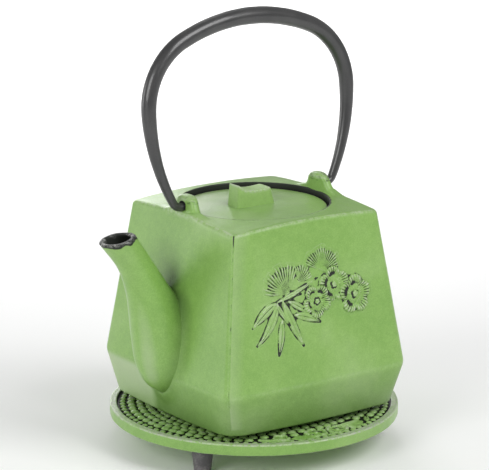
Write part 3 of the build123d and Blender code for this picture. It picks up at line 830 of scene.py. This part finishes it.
# Painted reflection: the top is paler towards the left of the view, in soft patches.
lid_painted_reflection = np.clip(0.29 - 0.010 * (lid_x * 0.81 - lid_y * 0.58), 0, 0.6) * lid_up
lid_painted_reflection = lid_painted_reflection * (0.8 + 0.35 * waves(lid_rows, 17.0, 62))
lid_piece = solid(
    "lid_plate", lid_rows, "cover",
    marks={"ink_and_shade": 0.75 * near(to_rim, 0.7), "worn": 0.5 * near(to_rim, 1.4) * lid_up, "painted_sheen": lid_painted_reflection},
)
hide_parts("lid")

# ---------------------------------------------------------------- knob
# A solid iron block with its high end towards the spout and a hollow sweep down to its low end, screwed to
# the lid from below.
knob_low, knob_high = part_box("lid_knob")
knob_x = (knob_low.x + knob_high.x) / 2 / MM
knob_foot = knob_low.z / MM
knob_half = (knob_high.x - knob_low.x) / 2 / MM
knob_deep = (knob_high.y - knob_low.y) / 2 / MM
knob_rise = (knob_high.z - knob_low.z) / MM
plan_x, plan_y = squared_ring(np.linspace(0, 2 * np.pi, 160, endpoint=False), 2 / 9.0)


def knob_row(share, low_end=2.2, high_end=0.9):
    """A ring on the knob's top, shrunk towards its middle by a share; the top falls off as an exponential."""
    x = np.where(plan_x > 0, (knob_half - low_end) * plan_x, (knob_half - high_end) * plan_x) * share
    sweep = 7.9 + (knob_rise - 7.7) * np.exp(-(x + knob_half - high_end) / 3.0)
    lift = np.minimum(sweep + 0.5 * np.clip(x / 9, 0, 1) ** 2, knob_rise)
    return np.stack([knob_x + x, (knob_deep - 0.5) * plan_y * share, knob_foot + lift], -1)


knob_base = np.stack([knob_x + knob_half * plan_x, knob_deep * plan_y, np.full_like(plan_x, knob_foot)], -1)
knob_rows = rounded_rows(
    [knob_base, knob_row(1.0), knob_row(0.66), knob_row(0.33), knob_row(0.04)],
    (0, 0.8, 0, 0, 0), (14, 5, 5, 5),
)
knob_rows = knob_rows - np.array((0, 0, 0.05))
knob_edge = np.linalg.norm(knob_rows - knob_row(1.0), axis=-1)
# A lit copy of the green paint: the same finish with a brighter green, and below a painted sheen over the whole
# knob, so that it reads as more brightly lit.
knob_iron_lit_copy = finish_material("knob_iron_lit_copy", paint, 0.5, 0.20, 0.28, 0.30, Paint=(0.285, 0.50, 0.112, 1))
knob_piece = solid(
    "knob_block", knob_rows, "cover", knob_iron_lit_copy,
    marks={"worn": np.clip(1.2 - knob_edge / 1.4, 0, 1), "ink_and_shade": 0.26 * near(knob_edge, 1.0), "painted_sheen": 0.22},
)
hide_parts("lid_knob")

# ---------------------------------------------------------------- handle
# A solid steel bar, forged thicker towards the top, bent to a horseshoe with its ends turned in, and
# painted satin black. It stands leaning back a little.
bail_lean = np.radians(4.5)
end_radius, shoulder_radius, crown_thicker = 2.15, 3.95, 0.55
pin_depth = 4.2
bail_half_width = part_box("bail_handle")[1].x / MM - shoulder_radius
bail_height, shoulder_height = 91.8, 49.6
crown_bend, leg_bend, end_bend = 100.0, 100.0, 5.0
crown_z = bail_height - crown_bend
crown_gap = shoulder_height - crown_z
shoulder_bend = (crown_bend**2 - bail_half_width**2 - crown_gap**2) / (2 * (crown_bend - bail_half_width))
shoulder_turn = np.arctan2(crown_gap, bail_half_width - shoulder_bend)
leg_foot = end_bend * (leg_bend - shoulder_height) / (leg_bend - end_bend)
leg_turn = np.arcsin((shoulder_height - leg_foot) / leg_bend)
leg_x = bail_half_width - leg_bend
pin_start = leg_x + (leg_bend - end_bend) * np.cos(leg_turn)
pin_end = np.interp(hinge_z, section_heights, section_half) - pin_depth


def arc(centre, radius, begin, finish, spacing=0.7):
    """Points on an arc in the handle's plane, evenly spaced, without its last one."""
    count = max(int(radius * abs(finish - begin) / spacing), 4)
    angle = np.linspace(begin, finish, count, endpoint=False)
    return np.stack([centre[0] + radius * np.cos(angle), centre[1] + radius * np.sin(angle)], -1)


pin_x = np.linspace(pin_end, pin_start, 8, endpoint=False)
right_half = np.concatenate([
    np.stack([pin_x, 0 * pin_x], -1),
    arc((pin_start, end_bend), end_bend, -np.pi / 2, -leg_turn, 0.4),
    arc((leg_x, shoulder_height), leg_bend, -leg_turn, 0.0),
    arc((bail_half_width - shoulder_bend, shoulder_height), shoulder_bend, 0.0, shoulder_turn),
    arc((0.0, crown_z), crown_bend, shoulder_turn, np.pi / 2),
    [[0.0, bail_height]],
])
bail_line = np.concatenate([right_half, right_half[-2::-1] * (-1, 1)])
along_half = np.concatenate([[0], np.cumsum(np.linalg.norm(np.diff(right_half, axis=0), axis=-1))])
leg_begin = np.hypot(*(right_half - (pin_start + end_bend * np.cos(leg_turn), 0)).T).argmin()
to_leg, to_shoulder = along_half[leg_begin], along_half[np.abs(right_half[:, 1] - shoulder_height).argmin()]
crown_share = np.clip((along_half - to_shoulder) / (along_half[-1] - to_shoulder), 0, 1)
half_radius = np.interp(along_half, (to_leg, to_shoulder), (end_radius, shoulder_radius))
half_radius = half_radius + crown_thicker * np.sin(np.pi / 2 * crown_share)
bail_radius = np.concatenate([half_radius, half_radius[-2::-1]])
bail_along = np.concatenate([along_half, 2 * along_half[-1] - along_half[-2::-1]])
ripple = np.convolve(np.random.default_rng(17).normal(size=len(bail_line)), (0.25, 0.5, 0.25), "same") * 0.002
dents = 0.05 * waves(np.stack([bail_along, 0 * bail_along, 0 * bail_along], -1), 17.0, 6)
on_bar = np.clip((bail_radius - 2.3) / 0.5, 0, 1)
bar_radius = bail_radius + (ripple + dents - 0.06) * on_bar
heading = np.gradient(bail_line, axis=0)
heading /= np.linalg.norm(heading, axis=-1, keepdims=True)
bar_ring = np.linspace(0, 2 * np.pi, 48, endpoint=False)[:, None]
sideways = np.stack([heading[:, 1], 0 * heading[:, 0], -heading[:, 0]], -1)
upright_line = np.stack([bail_line[:, 0], 0 * bail_line[:, 0], bail_line[:, 1]], -1)
bar_rows = upright_line[:, None] + bar_radius[:, None, None] * (
    sideways[:, None] * np.cos(bar_ring) + np.array((0, 1.0, 0)) * np.sin(bar_ring)
)
leaning = np.array([
    (1, 0, 0),
    (0, np.cos(bail_lean), np.sin(bail_lean)),
    (0, -np.sin(bail_lean), np.cos(bail_lean)),
])
bar_rows = bar_rows @ leaning.T + (0, 0, hinge_z)

charcoal, charcoal_in, bar_place = new_finish(
    "charcoal_paint", Paint=(0.026, 0.026, 0.027, 1), Rubbed=(0.052, 0.052, 0.051, 1)
)
bar_clouds = noise(bar_place, 60.0, 3.0)
bar_grain = noise(bar_place, 1300.0, 3.0, 0.7)
bar_mask = ramped(0.5 * (bar_clouds + 0.25) + 0.25 * bar_grain, 0.38, 0.72)
bar_colour = mixed(bar_mask, charcoal_in["Paint"], charcoal_in["Rubbed"])
put_out(charcoal, bar_colour, 0.28 + 0.10 * bar_clouds, bar_grain)
black_steel = finish_material("black_steel", charcoal, 0.55, 0.5, 0.14, 0.15)
bar = solid("bail_bar", bar_rows, "bail", black_steel)
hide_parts("bail_handle")

# ---------------------------------------------------------------- infuser
# A stainless basket hangs by its flange in the pot's mouth: a spun flange and collar, a sleeve of woven wire
# and a pressed cup with a woven floor.
steel, steel_in, steel_place = new_finish("brushed_steel", Metal=(0.62, 0.62, 0.61, 1), Worn=0.25)
spun = node(steel, "ShaderNodeMapping", Scale=(60.0, 60.0, 3500.0))
feed(spun.inputs["Vector"], steel_place)
spun_lines = noise(Signal(spun.outputs["Vector"]), 1.0, 3.0)
smears = noise(steel_place, 120.0, 3.0)
spun_tone = mixed(spun_lines, (0.85, 0.85, 0.85, 1), (1.05, 1.05, 1.05, 1))
put_out(steel, multiplied(steel_in["Metal"], spun_tone), 0.18 + smears * steel_in["Worn"], spun_lines)
bright_steel = finish_material("bright_steel", steel, 0.5, 0.0, 0.2, 0.08)
bright_steel.node_tree.nodes["Principled BSDF"].inputs["Metallic"].default_value = 1.0

rim_low, rim_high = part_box("infuser_rim")
cup_low, cup_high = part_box("infuser_base")
flange_top, collar_foot = rim_high.z / MM, rim_low.z / MM
flange_radius = rim_high.x / MM
flange_under = flange_top - 0.8
sleeve_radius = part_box("infuser_mesh")[1].x / MM
collar_radius = sleeve_radius + 0.6
rim_rows = turned(
    (
        (sleeve_radius, collar_foot), (sleeve_radius, flange_top), (flange_radius, flange_top),
        (flange_radius, flange_under), (collar_radius, flange_under), (collar_radius, collar_foot),
        (sleeve_radius, collar_foot),
    ),
    (0, 0.25, 0.3, 0.3, 0.2, 0.15, 0), (6, 3, 1, 3, 6, 1), turns, 3,
)
rim_piece = solid("infuser_flange", rim_rows, "infuser", bright_steel, capped=False)
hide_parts("infuser_rim")
wire_gap, wire_size, wire_sides, crimp = 1.5, 0.26, 4, 0.10


def wires(lines):
    """Tubes round many lines at once: each point of a line, shaped (lines, points, 3), gets a small ring."""
    along = np.gradient(lines, axis=1)
    along = along / np.linalg.norm(along, axis=-1, keepdims=True)
    out = lines * (1, 1, 0) + (1e-6, 0, 0)
    out = out - along * (out * along).sum(-1, keepdims=True)
    out = out / np.linalg.norm(out, axis=-1, keepdims=True)
    other = np.cross(along, out)
    ring = np.linspace(0, 2 * np.pi, wire_sides, endpoint=False)[:, None]
    return lines[..., None, :] + wire_size / 2 * (
        out[..., None, :] * np.cos(ring) + other[..., None, :] * np.sin(ring)
    )


def wire_piece(name, bundles):
    """One mesh of all the wires of a piece; closed rings meet their own start, and open ones get end caps."""
    points, faces, first = [], [], 0
    for lines, closed in bundles:
        count, length = lines.shape[:2]
        spans = length if closed else length - 1
        w, p, k = np.meshgrid(np.arange(count), np.arange(spans), np.arange(wire_sides), indexing="ij")
        here_at = first + (w * length + p) * wire_sides
        next_at = first + (w * length + (p + 1) % length) * wire_sides
        beside = (k + 1) % wire_sides
        quads = np.stack([here_at + k, here_at + beside, next_at + beside, next_at + k], -1)
        faces.append(quads.reshape(-1, 4))
        if not closed:
            start_at = first + np.arange(count)[:, None] * length * wire_sides
            corners = np.arange(wire_sides)
            faces.append(start_at + corners[::-1])
            faces.append(start_at + (length - 1) * wire_sides + corners)
        points.append(wires(lines).reshape(-1, 3))
        first += count * length * wire_sides
    faces = np.concatenate(faces).tolist()
    return placed(name, np.concatenate(points), faces, "infuser", bright_steel, {})


def by_turns(count):
    """One and minus one by turns, down a column: wires go over and under in opposite order."""
    return np.where(np.arange(count) % 2 == 0, 1, -1)[:, None]


sleeve_middle = sleeve_radius - 0.27
upright_count = int(2 * np.pi * sleeve_middle / wire_gap / 2) * 2
cup_foot, cup_top = cup_low.z / MM, cup_high.z / MM
sleeve_foot, sleeve_top = cup_foot + 0.7, collar_foot + 3.0
hoop_heights = np.arange(sleeve_foot + 1.0, sleeve_top, wire_gap)
hoop_angle = np.linspace(0, 2 * np.pi, upright_count * 2, endpoint=False)
hoop_radius = sleeve_middle + crimp * np.cos(hoop_angle * upright_count / 2) * by_turns(len(hoop_heights))
hoops = np.stack([
    hoop_radius * np.cos(hoop_angle), hoop_radius * np.sin(hoop_angle),
    np.broadcast_to(hoop_heights[:, None], hoop_radius.shape),
], -1)
stand_height = np.linspace(sleeve_foot, sleeve_top, 2 * len(hoop_heights))
stand_angle = np.arange(upright_count)[:, None] * 2 * np.pi / upright_count
stand_phase = (stand_height - hoop_heights[0]) * np.pi / wire_gap
stand_radius = sleeve_middle - crimp * np.cos(stand_phase) * by_turns(upright_count)
stands = np.stack([
    stand_radius * np.cos(stand_angle), stand_radius * np.sin(stand_angle),
    np.broadcast_to(stand_height, stand_radius.shape),
], -1)
sleeve = wire_piece("infuser_sleeve", [(hoops, True), (stands, False)])
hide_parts("infuser_mesh")

cup_radius = cup_high.x / MM
cup_ledge = cup_radius - 3.6
cup_rows = turned(
    (
        (cup_ledge, cup_foot), (cup_radius, cup_foot), (cup_radius, cup_top), (cup_radius - 0.5, cup_top),
        (cup_radius - 0.5, cup_foot + 0.6), (cup_ledge, cup_foot + 0.6), (cup_ledge, cup_foot),
    ),
    (0, 0.7, 0.2, 0.2, 0.3, 0.2, 0), (3, 3, 1, 3, 3, 1), turns, 3,
)
cup = solid("infuser_cup", cup_rows, "infuser", bright_steel, capped=False)
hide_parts("infuser_base")
weave_radius = cup_radius - 3.0
lay = np.arange(-weave_radius + 1.2, weave_radius - 1.0, wire_gap)[:, None]
run = np.sqrt(weave_radius**2 - lay**2) * np.linspace(-1, 1, 61)
weave = crimp * np.cos(np.pi * run / wire_gap) * by_turns(len(lay))
lay = np.broadcast_to(lay, weave.shape)
weave_z = cup_foot + 0.32
one_way = np.stack([run, lay, weave_z + weave], -1)
other_way = np.stack([lay, run, weave_z - weave], -1)
wire_piece("infuser_floor", [(one_way, False), (other_way, False)])
screw_node = frame["nodes"]["knob_screw"]
screw_node.data.materials.clear()
screw_node.data.materials.append(bright_steel)

# ---------------------------------------------------------------- trivet
# A round cast plate with a plain rim and a sunk field full of small studs, painted as the pot is; black
# lies between the studs and the tips are rubbed pale.
trivet_low, trivet_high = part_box("trivet_plate")
plate_radius = trivet_high.x / MM
plate_top, plate_foot = trivet_high.z / MM, trivet_low.z / MM
field_z = plate_top - 1.9
field_radius = plate_radius - 4.8
stud_rise = 1.68
plate_turns = np.linspace(0, 2 * np.pi, 360, endpoint=False)
plate_rows = turned(
    (
        (3.0, plate_foot), (plate_radius, plate_foot), (plate_radius, plate_top),
        (field_radius + 1.2, plate_top), (field_radius + 0.9, field_z), (2.0, field_z),
    ),
    (0, 0.9, 1.0, 0.5, 0.3, 0), (8, 5, 6, 3, 16), plate_turns,
)
plate_out = np.hypot(plate_rows[..., 0], plate_rows[..., 1])
rim_uneven = 0.10 * (1 + waves(plate_rows, 11.0, 51))
shrink = 1 - rim_uneven / plate_radius * np.clip((plate_out - plate_radius + 1.6) / 1.2, 0, 1)
plate_rows = plate_rows * np.stack([shrink, shrink, np.ones_like(shrink)], -1)
plate_z = plate_rows[..., 2]
on_rim = (plate_out > field_radius + 1.3) & (plate_z > plate_top - 0.8)
wall_edge = np.maximum(near(plate_z - plate_top, 0.9), near(plate_z - plate_foot, 0.9))
wall_edge = wall_edge * (plate_out > plate_radius - 1.4)
sunk = (plate_out < field_radius + 1.15) & (plate_z > plate_foot + 1)
plate_bare = on_rim * np.clip(0.45 + 0.4 * waves(plate_rows, 30.0, 9), 0.1, 0.9)
plate = solid(
    "trivet_casting", plate_rows, "trivet",
    marks={
        "ink_and_shade": np.where(sunk, 1.0, 0.36 * wall_edge), "worn": np.where(on_rim, 0.9, 0.35 * wall_edge),
        "bare": plate_bare,
    },
)
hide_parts("trivet_plate")

# The trivet's own pine and plum lie in the field where it shows beside the pot, with studs up to their edges.
motif_bearing, motif_out = np.meshgrid(
    np.radians(np.linspace(-124, -60, 260)), np.linspace(50.5, field_radius - 2.8, 90), indexing="ij"
)
motif_x, motif_y = motif_out * np.cos(motif_bearing), motif_out * np.sin(motif_bearing)
motif_low = -0.2
motif = np.full_like(motif_x, motif_low)
for shape, *item in (
    (fan, (-16.0, -66.5), 60, 75, 9.0, 20),
    (fan, (-30.0, -61.0), 20, 60, 8.5, 16),
    (fan, (22.0, -64.0), 130, 80, 9.0, 22),
    (blossom, (-5.0, -60.5), 6.6, 15),
    (blossom, (7.0, -62.5), 6.4, 60),
    (blossom, (-24.5, -57.5), 5.0, 30),
    (blade, (10.0, -58.0), (17.0, -59.0), (27.0, -55.5), 3.6),
    (blade, (-2.0, -67.0), (5.0, -68.0), (13.0, -67.0), 3.0),
    (blade, (-36.0, -53.0), (-32.0, -57.0), (-24.0, -64.5), 3.2),
    (blade, (28.0, -60.0), (30.0, -57.0), (33.0, -52.0), 3.0),
):
    motif = np.maximum(motif, shape(motif_x, motif_y, *item)[0])
motif = softened(motif, 0.9)
motif_share = np.clip((motif - motif_low) / 1.1, 0, 1)
motif_rows = np.stack([motif_x, motif_y, field_z - 0.1 + motif_share * stud_rise], -1)
motif_slab, motif_marks = backed(
    motif_rows, [-1, 0], (0, 0, -0.8),
    {"ink_and_shade": np.clip(1 - 1.5 * motif_share, 0, 1), "worn": np.clip(2 * motif_share - 1.2, 0, 1)},
)
solid("trivet_relief", motif_slab, "trivet", marks=motif_marks, sharp=80.0)


def studs(places, turn, long, wide, rise, sides=10):
    """Small domes, all in one go: rings of an ellipse shrink as a dome rises, at each place and turn."""
    shrink = np.array((1.0, 0.86, 0.60, 0.28))[:, None]
    lift = np.array((0.0, 0.55, 0.88, 1.0))[:, None]
    ring = np.linspace(0, 2 * np.pi, sides, endpoint=False)
    a, b = long * shrink * np.cos(ring), wide * shrink * np.sin(ring)
    cos_turn, sin_turn = np.cos(turn)[:, None, None], np.sin(turn)[:, None, None]
    x = places[:, 0, None, None] + a * cos_turn - b * sin_turn
    y = places[:, 1, None, None] + a * sin_turn + b * cos_turn
    z = np.broadcast_to(places[:, 2, None, None] + rise * lift, x.shape)
    return np.stack([x, y, z], -1), np.broadcast_to(lift, x.shape)


stud_pitch, ring_pitch = 5.3, 4.6
ring_radii = np.arange(field_radius - 6.3, 3.0, -ring_pitch)
ring_counts = np.round(2 * np.pi * ring_radii / stud_pitch).astype(int)
draw = np.random.default_rng(5)
spot_bearing = np.concatenate([
    (np.arange(count) + 0.5 * (ring % 2)) * 2 * np.pi / count for ring, count in enumerate(ring_counts)
])
spot_bearing = spot_bearing + draw.normal(size=len(spot_bearing)) * 0.003
spot_out = np.repeat(ring_radii, ring_counts) + draw.normal(size=len(spot_bearing)) * 0.12
stud_foot = field_z - 0.02
spots = circle(spot_out, stud_foot, spot_bearing)
every = 7
raised = np.stack([motif_x, motif_y], -1)[motif > 0.1][::every]
clear = np.hypot(*np.moveaxis(spots[:, None, :2] - raised, -1, 0)).min(1) > 1.6
spots, spot_bearing = spots[clear], spot_bearing[clear]
stud_turn = spot_bearing + np.pi / 2 + draw.normal(size=len(spots)) * 0.12
rib_count = 92
rib_bearing = np.arange(rib_count) * 2 * np.pi / rib_count
ribs = circle(field_radius - 1.9, stud_foot, rib_bearing)
stud_rings, stud_lifts = (
    np.concatenate(both) for both in zip(
        studs(spots, stud_turn, 2.72, 2.42, stud_rise), studs(ribs, rib_bearing, 1.85, 1.75, stud_rise * 0.8)
    )
)
count, levels, sides = stud_lifts.shape
d, r, k = np.meshgrid(np.arange(count), np.arange(levels - 1), np.arange(sides), indexing="ij")
at = (d * levels + r) * sides
beside = (k + 1) % sides
stud_faces = np.stack([at + k, at + beside, at + sides + beside, at + sides + k], -1).reshape(-1, 4).tolist()
start_at = np.arange(count)[:, None] * levels * sides
stud_faces += (start_at + (levels - 1) * sides + np.arange(sides)).tolist()
stud_faces += (start_at + np.arange(sides)[::-1]).tolist()
tips = stud_lifts.reshape(-1)
placed(
    "trivet_studs", stud_rings.reshape(-1, 3), stud_faces, "trivet", green_iron,
    {"ink_and_shade": np.clip(0.85 - 1.1 * tips, 0, 1), "worn": np.clip(tips * 2 - 1.4, 0, 1)},
)

# ---------------------------------------------------------------- feet
# Three tapered rubber feet, each pushed by its stem into the underside of the trivet.
rubber, rubber_in, rubber_place = new_finish(
    "foot_rubber", Rubber=(0.085, 0.080, 0.086, 1), Dust=(0.20, 0.19, 0.19, 1)
)
rubber_clouds = noise(rubber_place, 90.0, 3.0)
rubber_grain = noise(rubber_place, 1100.0, 3.0)
dust_mask = ramped(rubber_clouds + 0.4 * rubber_grain, 0.55, 0.95)
rubber_colour = mixed(dust_mask, rubber_in["Rubber"], rubber_in["Dust"])
put_out(rubber, rubber_colour, 0.55 + 0.2 * rubber_clouds, rubber_grain)
foot_rubber = finish_material("foot_rubber", rubber, 0.35, 0.0, 0.2, 0.25)
foot_turns = np.linspace(0, 2 * np.pi, 56, endpoint=False)
stem_radius = 2.5
stem_top = plate_foot + 3.0
for number in (1, 2, 3):
    foot_low, foot_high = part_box(f"trivet_foot_{number}")
    centre = np.array(((foot_low.x + foot_high.x) / 2, (foot_low.y + foot_high.y) / 2, 0)) / MM
    top_radius = (foot_high.x - foot_low.x) / 2 / MM
    foot_rows = turned(
        (
            (0.6, 0.0), (3.9, 0.0), (4.3, 0.5), (5.15, 7.7), (top_radius, plate_foot),
            (stem_radius, plate_foot), (stem_radius, stem_top), (0.4, stem_top),
        ),
        (0, 0.3, 0.2, 1.5, 0.15, 0.1, 0.4, 0), (3, 1, 8, 8, 2, 3, 1), foot_turns, 3,
    )
    foot = solid(f"foot_{number}", foot_rows + centre, "trivet", foot_rubber)
    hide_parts(f"trivet_foot_{number}")
